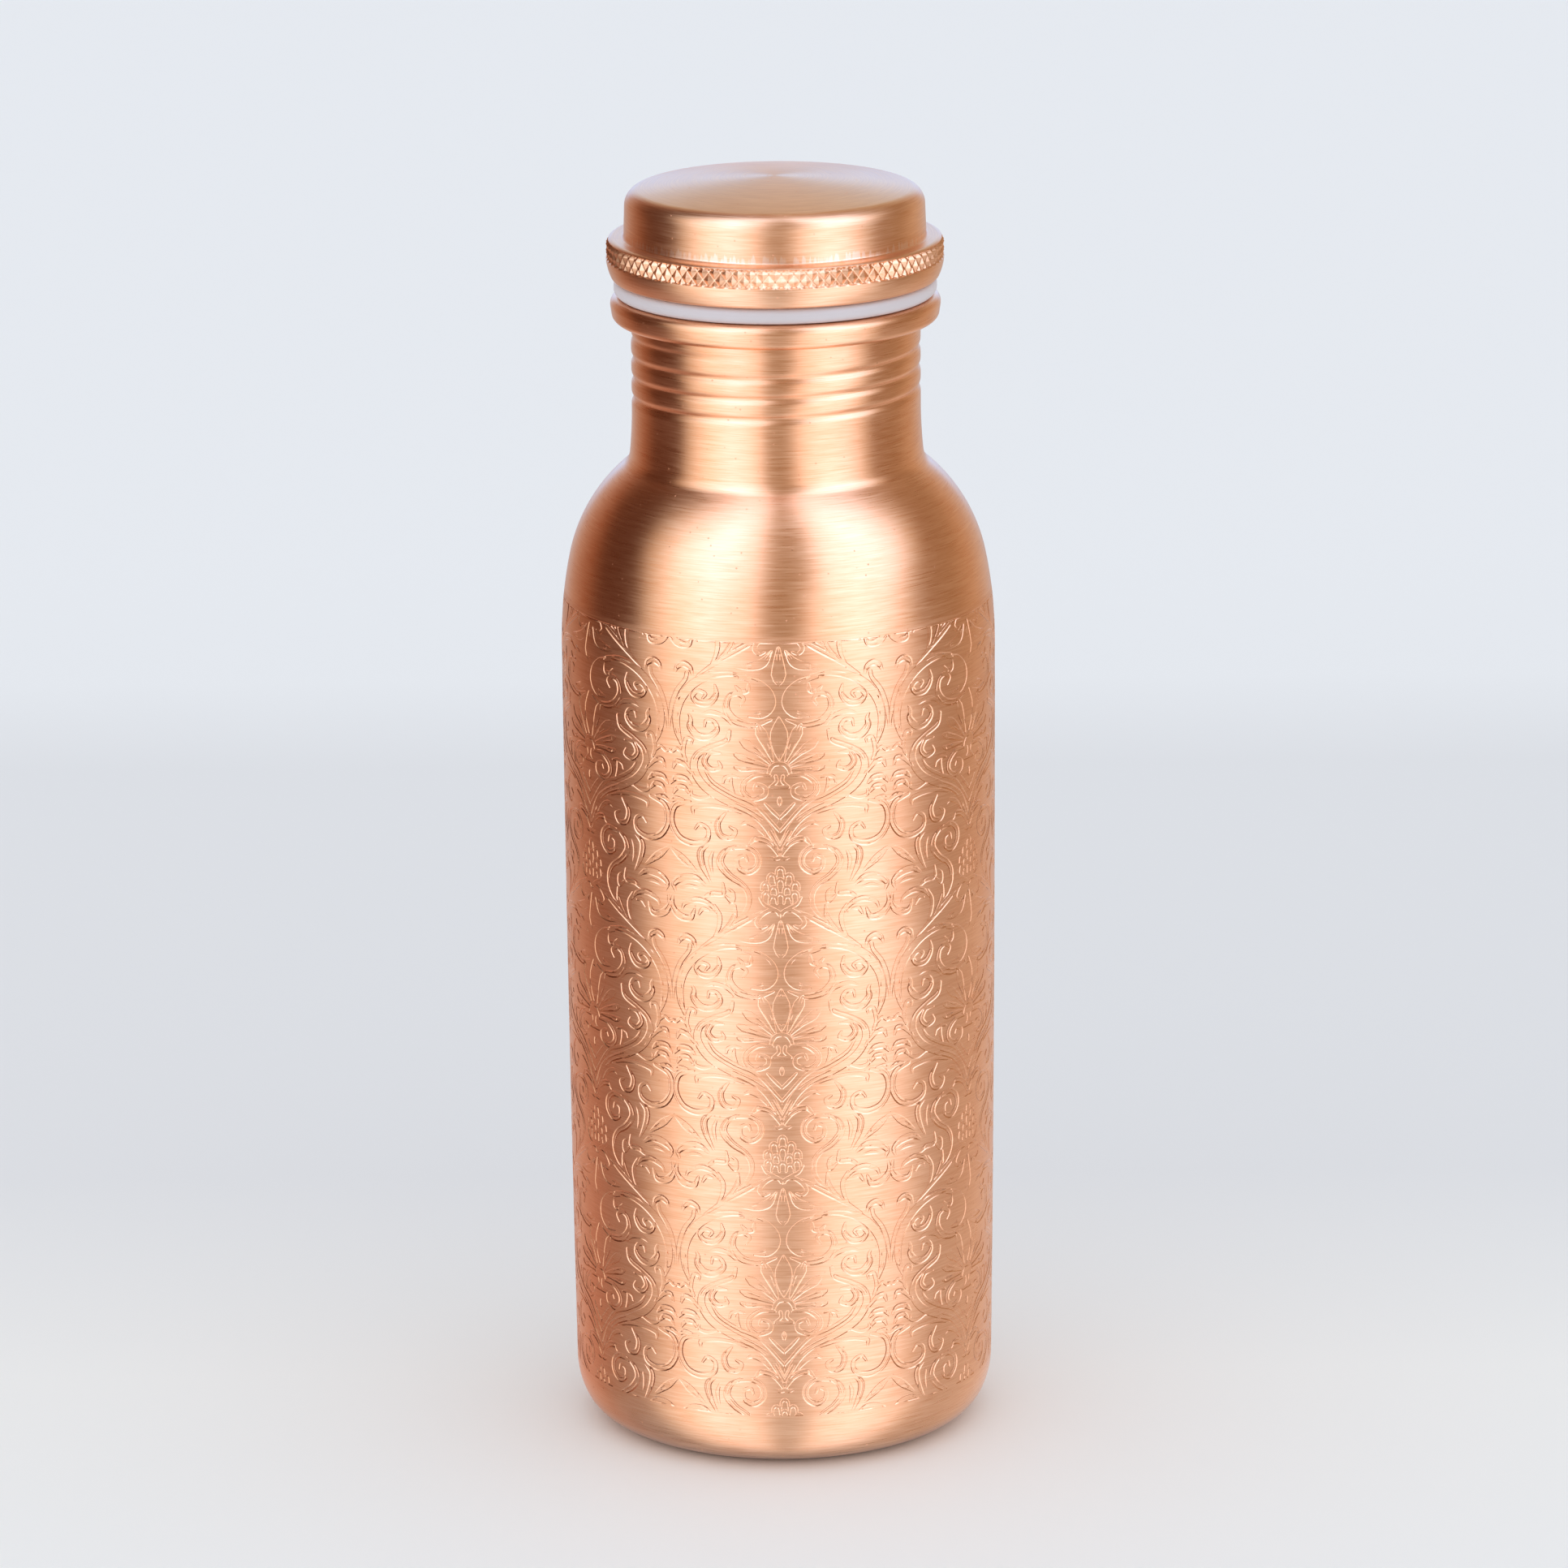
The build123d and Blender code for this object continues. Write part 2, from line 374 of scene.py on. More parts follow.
def scuffs(tree, x, y, z, surface, low, high):
    """Upright scuffs that start at the low height and fade out at the high one."""
    joined = node(tree, "CombineXYZ")
    for socket, value, scale in zip(joined.inputs, (x, y, z), SCRAPE_SCALES):
        tree.links.new(math_node(tree, "MULTIPLY", value, scale), socket)
    scrape = node(tree, "TexNoise")
    scrape.inputs["Scale"].default_value = 1.0
    scrape.inputs["Detail"].default_value = 3.0
    tree.links.new(joined.outputs[0], scrape.inputs["Vector"])
    level = map_range(tree, z, low * MM, high * MM, *SCRAPE_LEVELS)
    excess = math_node(tree, "SUBTRACT", scrape.outputs[0], level)
    mark = math_node(tree, "MAXIMUM", math_node(tree, "MULTIPLY", excess, SCRAPE_CONTRAST), 0.0)
    above = math_node(tree, "GREATER_THAN", z, (low - SCRAPE_LEAD) * MM)
    mark = math_node(tree, "MULTIPLY", mark, above)
    return blend(tree, math_node(tree, "MINIMUM", mark, SCRAPE_STRENGTH), surface, SCUFF_COLOUR)


def copper(name, roughness=0.30, anisotropic=0.75, tint=COPPER, scuffed=None):
    """Brushed copper: fine lines round the axis, a mottled tone, sparse pits and dull specks;
    scuffed gives the two heights between which upright scuffs fade out."""
    material = bpy.data.materials.new(name)
    material.use_nodes = True
    tree = material.node_tree
    shader = tree.nodes["Principled BSDF"]
    place = node(tree, "TexCoord").outputs["Object"]
    split = node(tree, "SeparateXYZ")
    tree.links.new(place, split.inputs[0])
    x, y, z = split.outputs
    fine = streaks(tree, x, y, z, *FINE_GRAIN)
    broad = streaks(tree, x, y, z, *BROAD_GRAIN)
    grain = weigh(tree, FINE_SHARE, fine, broad)

    surface = grain_tone(tree, place, grain, tint)
    pits = scattered(tree, place, PIT_SCALE, PIT_RARITY, PIT_RADIUS)
    surface = blend(tree, math_node(tree, "MULTIPLY", pits, PIT_STRENGTH), surface, PIT_COLOUR)
    if scuffed:
        surface = scuffs(tree, x, y, z, surface, *scuffed)
    tree.links.new(surface, shader.inputs["Base Color"])

    low, high = (roughness + change for change in ROUGHNESS_SPREAD)
    rough = map_range(tree, grain, *GRAIN_RANGE, low, high, "LINEAR")
    specks = scattered(tree, place, SPECK_SCALE, SPECK_RARITY, SPECK_RADIUS)
    rough = math_node(tree, "ADD", rough, math_node(tree, "MULTIPLY", specks, SPECK_ROUGHNESS))
    tree.links.new(rough, shader.inputs["Roughness"])

    bump = node(tree, "Bump")
    bump.inputs["Strength"].default_value = GRAIN_STRENGTH
    bump.inputs["Distance"].default_value = GRAIN_RELIEF
    tree.links.new(grain, bump.inputs["Height"])
    tree.links.new(bump.outputs[0], shader.inputs["Normal"])

    tangent = node(tree, "Tangent", direction_type="RADIAL", axis="Z")
    tree.links.new(tangent.outputs[0], shader.inputs["Tangent"])
    shader.inputs["Metallic"].default_value = 1.0
    shader.inputs["Anisotropic"].default_value = anisotropic
    shader.inputs["Anisotropic Rotation"].default_value = 0.25
    return material


brushed = copper("brushed_copper")
satin = copper("satin_copper", roughness=0.34, anisotropic=0.6, tint=CAP_COPPER, scuffed=(201.4, 203.6))
etched = copper("etched_copper", roughness=0.35, anisotropic=0.6)
edge_copper = copper("etched_edge_copper", roughness=0.24, anisotropic=0.3, tint=EDGE_COPPER)

# -------- bottle body
# The sheet's outer face, from the middle of the base up to the bead's lip
sheet = Outline(0.0, BASE_RECESS, 0.0)
sheet.run_to_radius(RECESS_RADIUS, step=5.0)
drop_turn = math.degrees(math.acos(1 - BASE_RECESS / (2 * RECESS_BEND)))
sheet.bend(RECESS_BEND, -drop_turn)
sheet.bend(RECESS_BEND, drop_turn)
sheet.run_to_radius(RING_RADIUS)
for bend_radius, turn in CORNER_BENDS:
    sheet.bend(bend_radius, turn, step=2.5)
sheet.bend(*WALL_BEND, step=0.05)
for bend_radius, turn in SHOULDER_BENDS:
    sheet.bend(bend_radius, turn, step=1.25)
sheet.bend(NECK_FILLET, 90.0 + NECK_LEAN - sheet.heading, step=4.0)
foot_bend = (sheet.radius - NECK_RADIUS) / (1 - math.cos(math.radians(NECK_LEAN)))
sheet.bend(foot_bend, -NECK_LEAN, step=0.5)
sheet.run_to_height(MOUTH_HEIGHT - BEAD_TOP_BEND, step=0.24)
sheet.bend(BEAD_TOP_BEND - BODY_SHEET, -90.0, step=10.0)
sheet.run_to_radius(BEAD_RADIUS - BEAD_TOP_BEND)
sheet.bend(BEAD_TOP_BEND - BODY_SHEET, -90.0 - BEAD_TAPER, step=10.0)
lip_bend = BEAD_LIP_BEND - BODY_SHEET
lip_depth = BODY_SHEET + lip_bend * (1 - math.sin(math.radians(BEAD_TAPER)))
sheet.run_to_height(BEAD_LIP_HEIGHT + lip_depth)
sheet.bend(lip_bend, -90.0 + BEAD_TAPER, step=10.0)
sheet.run_to_radius(BEAD_LIP_RADIUS)
body_faces = sheet.face(0.0), sheet.face(BODY_SHEET)[::-1]


def thread(radius, height, angle):
    """The rolled thread: a narrow groove wound round the neck's straight part."""
    turned = np.mod(angle - THREAD_START_ANGLE, 2 * math.pi) / (2 * math.pi)
    depth = np.zeros(radius.shape)
    for turn in range(math.ceil(THREAD_TURNS)):
        along = turned + turn
        ends = np.minimum(along / THREAD_START_FADE, (THREAD_TURNS - along) / THREAD_END_FADE)
        gap = height - (THREAD_START + PITCH * along)
        depth = depth + np.clip(ends, 0.0, 1.0) * np.exp(-(gap / THREAD_WIDTH) ** 2)
    on_neck = np.abs(radius - NECK_RADIUS + BODY_SHEET / 2) < BODY_SHEET / 2 + THREAD_MARGIN
    return np.where(on_neck, -THREAD_DEPTH * depth, 0.0)


# -------- engraving
# The damask is etched: its leaves and scrolls are shallow channels in the wall. One
# half cell is drawn, x across from the cell's upright axis and v down from its top,
# as tapered strokes. It is mirrored and wound six times round the wall.
CELLS_AROUND = 6
CELLS_EACH = CELLS_AROUND // 2      # on either half of the wall
CELL_TURN = 2 * math.pi / CELLS_AROUND
CELL_HEIGHT = 45.6
ENGRAVED_TOP = 141.7
ENGRAVED_FOOT = 10.25
PANEL_TOP = 142.6           # the panel meets the plain wall here
PANEL_FOOT = 9.9
ENGRAVED_DEPTH = 0.075
ENGRAVED_SLOPE = 0.14       # width of a channel's sloping side
STEEPNESS = ENGRAVED_DEPTH / ENGRAVED_SLOPE
STROKE_SCALE = 1.15         # every stroke is cut this much wider than it is drawn,
STROKE_EXTRA = 0.10         # and then this much more
BORDER_WIDTH = 0.28
RIB_SHARE = 0.26            # of a wide channel's width, left standing along its middle
RIB_CHANNEL = 0.95          # narrower channels have no such rib
FLOOR_HALF = 0.06           # half of the narrowest floor that gets edges of its own
HALF_CELL = math.pi * WALL_RADIUS / CELLS_AROUND
POINT_GAP = 1.3             # between a line's points where it runs straight
POINT_TURN = math.radians(24.0)     # between them where it turns
SPLINE_SAMPLES = 16
GRID_ROWS = 50              # of plain points between the lines
EDGE_MARGIN = 0.1           # lines are cut off this far past the pattern's ends
SLOPE_SHARE = 0.4           # of the sides' steepness, above which a face counts as a side
SAME_PLACE = 1e-4
SMALLEST_AREA = 1e-7
BATCH = 500                 # points whose distances are worked out at once

# Each stroke: its widths, and its points (x, v)
STROKES = [
    # pendant drop, its petals and curls
    ([0.5, 1.6, 2.1, 1.4], [(0, 0.9), (0, 3.6), (0, 5.6), (0, 6.4)]),
    ([0.3, 1.3, 1.1, 0.2], [(1.1, 1.4), (2.5, 3.3), (4.6, 4.0), (7.0, 4.1)]),
    ([0.4, 0.6, 0.6, 0.6, 0.6, 0.5, 0.3],
     [(0.2, -0.2), (0.7, -1.0), (1.9, -1.0), (3.2, -0.1), (3.9, 1.1), (3.2, 1.9), (2.2, 1.6)]),
    ([0.3, 0.9, 1.0, 0.7, 0.3], [(2.9, -0.8), (5.2, 0.5), (7.8, 2.0), (10.4, 3.7), (13.3, 5.8)]),
    ([0.3, 0.8, 0.9, 0.3], [(10.2, 3.4), (8.6, 1.9), (7.6, 0.2), (7.4, -1.8)]),
    ([0.3, 0.6, 0.7, 0.3], [(11.0, 3.9), (10.2, 2.2), (10.0, 0.2), (10.9, -1.6)]),
    # frame ribbon and the hooked branch beside it
    ([0.4, 0.9, 1.1, 1.3, 1.3, 1.2, 1.0, 0.3],
     [(5.2, 5.5), (8.4, 5.2), (11.6, 5.9), (14.4, 7.6), (16.4, 10.2), (17.2, 13.0), (17.0, 15.5),
      (16.3, 17.7)]),
    ([0.6, 0.6, 0.7, 0.7, 0.5, 0.2],
     [(15.2, 5.5), (15.5, 6.7), (17.0, 8.7), (18.0, 11.2), (18.4, 13.6), (18.5, 15.4)]),
    ([0.2, 0.8, 1.0, 0.8, 0.2], [(14.2, 6.0), (14.6, 4.8), (15.8, 4.2), (16.9, 4.7), (17.4, 5.8)]),
    # big scroll beside the axis
    ([0.3, 1.0, 1.6, 1.7, 1.2, 0.3],
     [(6.4, 5.8), (3.8, 6.4), (1.9, 8.2), (1.5, 10.2), (2.7, 11.8), (4.9, 12.2)]),
    ([0.3, 0.8, 1.1, 1.1, 0.8, 0.7, 0.5, 0.3],
     [(1.2, 12.7), (4.0, 13.6), (6.9, 13.0), (8.5, 11.2), (8.2, 9.2), (6.8, 8.5), (5.6, 9.3), (6.2, 10.4)]),
    ([0.3, 0.7, 0.7, 0.3], [(4.8, 6.7), (5.0, 7.9), (6.1, 8.1), (7.0, 7.2)]),
    # two spirals inside the ribbon
    ([0.3, 0.8, 1.0, 0.9, 0.7, 0.6, 0.5, 0.3],
     [(10.4, 7.2), (10.2, 8.8), (11.4, 10.3), (13.3, 10.4), (14.2, 9.3), (13.2, 8.4), (12.0, 8.8),
      (12.5, 9.6)]),
    ([0.2, 0.6, 1.0, 1.1, 1.0, 0.8, 0.6, 0.5, 0.3],
     [(15.0, 12.3), (14.6, 13.2), (14.7, 14.5), (13.4, 15.9), (11.5, 15.9), (10.1, 14.7),
      (10.6, 13.3), (11.9, 13.2), (12.2, 14.3)]),
    ([0.2, 0.6, 0.7, 0.2], [(7.4, 13.9), (9.0, 12.3), (11.2, 11.8), (13.0, 12.4)]),
    # lower ribbon that runs to the point of the frame, and its inner line
    ([0.5, 0.8, 0.9, 1.0, 1.2, 1.2, 1.1, 1.0, 1.1, 0.9],
     [(8.0, 14.6), (8.6, 16.4), (11.2, 17.6), (13.6, 19.2), (14.1, 21.6), (12.3, 24.3), (8.9, 26.3),
      (5.0, 28.0),
      (2.3, 30.2), (0.0, 34.2)]),
    ([0.2, 0.5, 0.5, 0.5, 0.4], [(12.3, 21.4), (10.9, 23.4), (7.6, 25.3), (4.0, 26.9), (0.0, 31.3)]),
    ([0.3, 0.7, 0.9, 0.8, 0.6, 0.3],
     [(9.6, 18.5), (11.4, 18.6), (12.3, 20.1), (11.2, 21.3), (9.6, 20.9), (9.9, 19.9)]),
    # palmette
    ([0.3, 2.2, 2.5, 1.6, 0.3], [(0, 12.3), (0, 14.4), (0, 16.0), (0, 18.0), (0, 19.4)]),
    ([0.3, 1.1, 1.6, 0.9], [(1.0, 19.6), (1.9, 17.2), (2.9, 14.9), (3.3, 13.9)]),
    ([0.3, 0.9, 1.4, 0.6], [(1.5, 20.0), (3.3, 18.2), (5.2, 16.9), (6.2, 16.2)]),
    ([0.3, 0.8, 1.1, 0.5], [(1.8, 20.5), (4.0, 19.7), (6.2, 19.0), (7.2, 18.6)]),
    ([0.3, 0.6, 0.8, 0.5], [(2.0, 21.0), (4.2, 20.9), (6.2, 21.0), (7.2, 20.7)]),
    ([0.6, 0.6, 0.6, 0.5], [(0, 20.0), (0.9, 20.2), (1.5, 20.9), (1.7, 21.6)]),
    ([0.5, 0.5, 0.4], [(0.6, 22.0), (0.5, 23.0), (1.5, 23.9)]),
    ([0.4, 0.5, 0.4], [(0, 23.9), (0.8, 23.9), (1.5, 23.9)]),
    ([0.3, 0.7, 0.9, 0.9, 0.8, 0.7, 0.6, 0.5, 0.3],
     [(1.4, 22.0), (3.8, 21.9), (5.7, 23.2), (5.9, 24.8), (4.3, 25.9), (2.4, 25.3), (2.3, 24.0),
      (3.7, 23.5), (4.2, 24.4)]),
    ([0.3, 0.5, 0.5, 0.3], [(6.6, 22.4), (7.8, 22.2), (8.9, 22.6), (9.2, 23.5)]),
    ([0.3, 0.6, 0.3], [(7.8, 22.6), (7.9, 23.8), (7.4, 25.0)]),
    # point of the frame: heart, bud, curled ends
    ([0.3, 0.5, 0.4], [(2.4, 26.6), (1.2, 27.9), (0.0, 29.1)]),
    ([0.5, 0.7, 0.5], [(0.0, 25.7), (0.0, 26.3), (0.0, 26.8)]),
    ([0.3, 0.8, 0.9, 0.7, 0.2], [(0.3, 35.3), (1.3, 33.6), (2.7, 32.7), (4.2, 32.7), (5.2, 34.0)]),
    ([0.3, 0.6, 0.6, 0.2], [(2.4, 32.0), (3.7, 30.6), (5.3, 29.9), (6.5, 30.4)]),
    ([0.6, 0.5, 0.2], [(0.0, 35.7), (0.8, 35.9), (1.6, 35.6)]),
    # curls and leaves between the frames
    ([0.3, 0.9, 0.9, 0.7, 0.6, 0.3],
     [(8.8, 28.4), (10.2, 30.3), (9.7, 32.2), (8.0, 32.6), (7.2, 31.4), (8.2, 30.7)]),
    ([0.2, 0.5, 0.6, 0.7, 0.2], [(5.2, 28.7), (8.2, 27.7), (11.4, 27.4), (14.2, 27.9), (14.3, 29.2)]),
    ([0.5, 0.9, 1.0, 1.0, 1.0, 0.8, 0.6, 0.5, 0.3],
     [(14.9, 27.0), (17.6, 28.0), (18.3, 30.6), (17.0, 33.1), (14.5, 34.0), (12.1, 33.2),
      (11.8, 31.4), (13.2, 30.6),
      (14.1, 31.6)]),
    ([0.3, 0.6, 0.5, 0.2], [(11.4, 25.8), (13.2, 26.3), (14.6, 25.9), (14.5, 24.9)]),
    ([0.3, 0.9, 0.9, 0.3], [(14.6, 24.2), (15.7, 23.3), (17.4, 23.3), (18.4, 24.4)]),
    ([0.3, 0.8, 0.8, 0.3], [(15.0, 25.7), (15.9, 24.8), (17.2, 24.9), (17.9, 26.0)]),
    ([0.3, 0.8, 0.4], [(16.0, 26.8), (17.5, 26.8), (18.8, 27.6)]),
    ([0.3, 0.7, 0.8, 0.3], [(14.6, 22.3), (15.9, 20.9), (17.3, 20.6), (17.9, 21.8)]),
    ([0.5, 0.6, 0.6, 0.4, 0.2], [(15.5, 20.3), (16.0, 18.8), (15.5, 16.6), (14.4, 16.7), (14.6, 17.6)]),
    ([0.3, 0.5, 0.4, 0.4], [(16.0, 19.3), (17.1, 18.4), (18.0, 19.0), (18.85, 18.7)]),
    # spiral and long stem under the frame's point
    ([0.4, 0.8, 0.9, 0.9, 0.9, 0.7, 0.6, 0.5, 0.3],
     [(7.6, 34.3), (5.3, 34.0), (3.7, 35.2), (3.6, 37.0), (5.1, 38.2), (6.8, 37.5), (6.9, 36.0),
      (5.7, 35.5), (5.2, 36.5)]),
    ([0.3, 0.9, 1.1, 1.0, 0.8, 0.8, 0.7, 0.5, 0.2],
     [(7.4, 33.9), (9.3, 35.2), (9.8, 37.0), (8.3, 38.9), (6.3, 40.2), (5.2, 41.8), (5.2, 43.8),
      (6.3, 45.6), (8.3, 47.2)]),
    # leaves round the middle between the cells
    ([0.2, 1.1, 0.9, 0.2], [(18.6, 35.0), (16.8, 36.4), (15.2, 37.6), (13.6, 38.9)]),
    ([0.2, 1.0, 0.9, 0.2], [(11.6, 33.9), (13.1, 35.2), (12.9, 37.4), (11.4, 40.4)]),
    ([0.2, 0.6, 0.2], [(10.9, 34.8), (11.5, 36.6), (11.1, 38.9)]),
    ([0.2, 1.0, 1.1, 0.8, 0.2], [(12.2, 40.9), (14.0, 39.8), (16.4, 40.0), (18.0, 41.2), (17.6, 42.6)]),
    ([0.2, 0.6, 0.2], [(13.4, 41.4), (15.2, 41.2), (16.9, 41.7)]),
    ([0.3, 0.7, 0.8, 0.2], [(9.4, 40.2), (9.4, 42.0), (11.4, 42.2), (13.2, 43.4)]),
    ([0.3, 0.7, 0.5, 0.2], [(9.0, 42.4), (7.9, 43.2), (7.7, 41.8), (8.6, 41.0)]),
    ([0.3, 0.9, 1.1, 0.9, 0.2], [(14.3, 45.0), (15.1, 46.6), (17.1, 46.4), (18.4, 44.8), (18.1, 42.9)]),
    ([0.2, 0.7, 0.9, 0.6, 0.2], [(10.6, 45.2), (11.8, 43.9), (13.9, 43.4), (16.0, 44.2), (16.6, 45.4)]),
    ([0.3, 0.6, 0.3], [(11.8, 45.0), (12.9, 44.9), (13.6, 45.9)]),
    # seat of the seed head
    ([0.3, 0.5, 0.5, 0.4], [(3.4, 42.4), (2.6, 43.6), (1.2, 44.3), (0.0, 45.0)]),
]

# Lines left standing inside the wider channels
RIBS = [
    ([0.4, 0.8, 0.5], [(0, 3.6), (0, 5.0), (0, 5.9)]),
    ([0.3, 0.7, 1.0, 0.5], [(0, 13.6), (0, 14.9), (0, 16.4), (0, 17.8)]),
    ([0.2, 0.4, 0.5, 0.2], [(4.6, 6.6), (2.8, 8.0), (2.1, 10.0), (2.9, 11.3)]),
    ([0.2, 0.5, 0.2], [(1.9, 17.8), (2.6, 16.0), (3.0, 14.7)]),
    ([0.2, 0.4, 0.2], [(3.6, 18.1), (4.8, 17.2), (5.6, 16.7)]),
]

# Seed head: rows of small arched scales, as (x, v) of each arch's crown
SCALES = [(0, 37.4), (1.4, 38.5), (0, 39.3), (2.4, 39.9), (1.1, 40.6), (0, 41.8), (2.3, 41.5), (1.2, 42.2)]
ARCH_WIDTHS = [0.3, 0.4, 0.5, 0.4, 0.3]
ARCH = [(-0.65, 1.3), (-0.55, 0.4), (0.0, 0.0), (0.55, 0.4), (0.65, 1.3)]
for x, v in SCALES:
    STROKES.append((ARCH_WIDTHS, [(x + across, v + down) for across, down in ARCH]))


def smooth_line(widths, points):
    """Points of a smooth curve through the given ones, as x, v and half width, closer where
    it turns."""
    given = np.array([(x, v, w / 2) for (x, v), w in zip(points, widths)], float)
    ends = np.vstack([2 * given[0] - given[1], given, 2 * given[-1] - given[-2]])
    dense = []
    for a, b, c, d in zip(ends, ends[1:], ends[2:], ends[3:]):
        for t in np.arange(SPLINE_SAMPLES) / SPLINE_SAMPLES:
            dense.append(0.5 * (2 * b + (c - a) * t + (2 * a - 5 * b + 4 * c - d) * t * t
                                + (3 * b - a - 3 * c + d) * t ** 3))
    dense.append(given[-1])
    dense = np.array(dense)
    step = np.diff(dense[:, :2], axis=0)
    length = np.hypot(*step.T)
    heading = np.unwrap(np.arctan2(step[:, 1], step[:, 0]))
    bend = np.concatenate([[0], np.abs(np.diff(heading))])
    spent = np.concatenate([[0], np.cumsum(length / POINT_GAP + bend / POINT_TURN)])
    count = max(2, math.ceil(spent[-1]))
    wanted = np.linspace(0, spent[-1], count + 1)
    return np.stack([np.interp(wanted, spent, dense[:, k]) for k in range(3)], 1)


def edge_lines(line):
    """The channel's rims, the foot of its sides and, where it is narrow, its middle."""
    step = np.gradient(line[:, :2], axis=0)
    step /= np.hypot(*step.T)[:, None]
    side = np.stack([-step[:, 1], step[:, 0]], 1)
    rims = []
    for sign in (1, -1):
        rims.append(line[:, :2] + sign * side * line[:, 2:])
    foot = line[:, 2] - ENGRAVED_SLOPE
    wide = foot > FLOOR_HALF
    for sign in (1, -1):
        for part in runs(wide):
            rims.append(line[part, :2] + sign * side[part] * foot[part, None])
    for part in runs(~wide):
        rims.append(line[part, :2])
    tips = [line[0, :2] - step[0] * line[0, 2], line[-1, :2] + step[-1] * line[-1, 2]]
    caps = [np.array([rims[0][end], tips[end], rims[1][end]]) for end in (0, -1)]
    return rims + caps


def runs(flags):
    """Slices of each unbroken run of true flags, two long or more."""
    found = []
    start = None
    for k, flag in enumerate(list(flags) + [False]):
        if flag and start is None:
            start = k
        if not flag and start is not None:
            if k - start > 1:
                found.append(slice(start, k))
            start = None
    return found


def within(line, low, high):
    """The stretches of a line between two heights."""
    stretches = []
    current = []
    for a, b in zip(line, line[1:]):
        rise = b[1] - a[1]
        if abs(rise) < 1e-9:
            start, stop = (0.0, 1.0) if low < a[1] < high else (0.0, 0.0)
        else:
            first, last = sorted(((low - a[1]) / rise, (high - a[1]) / rise))
            start, stop = max(0.0, first), min(1.0, last)
        if start >= stop or start > 0:
            stretches.append(current)
            current = []
        if start >= stop:
            continue
        if not current:
            current = [a + (b - a) * start]
        current.append(a + (b - a) * stop)
        if stop < 1:
            stretches.append(current)
            current = []
    stretches.append(current)
    return [stretch for stretch in stretches if len(stretch) > 1]


def nearest(points, lines):
    """Signed distance from the lines' rims, negative inside, and the way out of the
    nearest line."""
    start = np.vstack([line[:-1] for line in lines])
    stop = np.vstack([line[1:] for line in lines])
    run = stop - start
    best = np.full(len(points), 1e9)
    way = np.zeros((len(points), 2))
    for low in range(0, len(points), BATCH):
        part = points[low:low + BATCH]
        gap = part[:, None, :] - start[None, :, :2]
        square = np.maximum((run[:, :2] ** 2).sum(1), 1e-12)
        along = np.clip((gap * run[None, :, :2]).sum(2) / square[None, :], 0, 1)
        gap -= along[:, :, None] * run[None, :, :2]
        far = np.hypot(gap[..., 0], gap[..., 1])
        edge = far - (start[None, :, 2] + along * run[None, :, 2])
        pick = edge.argmin(1)
        row = np.arange(len(part))
        best[low:low + BATCH] = edge[row, pick]
        way[low:low + BATCH] = gap[row, pick] / np.maximum(far[row, pick], 1e-9)[:, None]
    return best, way


def cell_lines():
    """The channels and the ribs of one half cell, over the whole wall."""
    channels = []
    ribs = []
    for row in range(-1, math.ceil((ENGRAVED_TOP - ENGRAVED_FOOT) / CELL_HEIGHT)):
        for made, strokes in ((channels, STROKES), (ribs, RIBS)):
            for widths, points in strokes:
                line = smooth_line(widths, points)
                line[:, 1] = ENGRAVED_TOP - row * CELL_HEIGHT - line[:, 1]
                if not (line[:, 1].min() < ENGRAVED_TOP and line[:, 1].max() > ENGRAVED_FOOT):
                    continue
                made.append(line)
                if made is channels:
                    line[:, 2] = STROKE_SCALE * line[:, 2] + STROKE_EXTRA / 2
                    for part in runs(line[:, 2] > RIB_CHANNEL / 2):
                        ribs.append(line[part] * (1.0, 1.0, RIB_SHARE))
    border = (-1.0, HALF_CELL / 2, HALF_CELL + 1.0)
    channels.append(np.array([(x, ENGRAVED_TOP - BORDER_WIDTH / 2, BORDER_WIDTH / 2) for x in border]))
    return channels, ribs


def cell_mesh(lines):
    """Points (x, height) of one half cell and its triangles, with edges along the lines."""
    points = []
    edges = []

    def add(line):
        edges.extend((len(points) + k, len(points) + k + 1) for k in range(len(line) - 1))
        points.extend(map(tuple, line))

    for line in lines:
        for edge in edge_lines(line):
            for kept in within(edge, ENGRAVED_FOOT - EDGE_MARGIN, ENGRAVED_TOP + EDGE_MARGIN):
                add(kept)
    columns = np.linspace(0, HALF_CELL, SIDES // CELLS_AROUND // 2 + 1)
    rows = np.linspace(PANEL_FOOT, PANEL_TOP, GRID_ROWS)
    for height in (PANEL_FOOT, PANEL_TOP):
        add([(x, height) for x in columns])
    for edge, inwards in ((ENGRAVED_TOP, -ENGRAVED_SLOPE), (ENGRAVED_FOOT, ENGRAVED_SLOPE)):
        for height in (edge, edge + inwards):
            add([(x, height) for x in columns[::2]])
    for x in (0.0, HALF_CELL):
        add([(x, height) for height in rows])
    for height in rows[1:-1]:
        points.extend((x, height) for x in columns[2:-1:2])
    places = [mathutils.Vector(point) for point in points]
    made = mathutils.geometry.delaunay_2d_cdt(places, edges, [], 0, SAME_PLACE, False)
    place = np.array([tuple(point) for point in made[0]])
    faces = np.array(made[2])
    x, height = place[faces].mean(1).T
    faces = faces[(x > 0) & (x < HALF_CELL) & (height > PANEL_FOOT) & (height < PANEL_TOP)]
    used, faces = np.unique(faces, return_inverse=True)
    faces = faces.reshape(-1, 3)
    place = place[used]
    flat = np.diff(place[faces], axis=1)
    area = flat[:, 0, 0] * flat[:, 1, 1] - flat[:, 0, 1] * flat[:, 1, 0]
    faces[area < 0] = faces[area < 0][:, ::-1]
    return place, faces[np.abs(area) > SMALLEST_AREA]


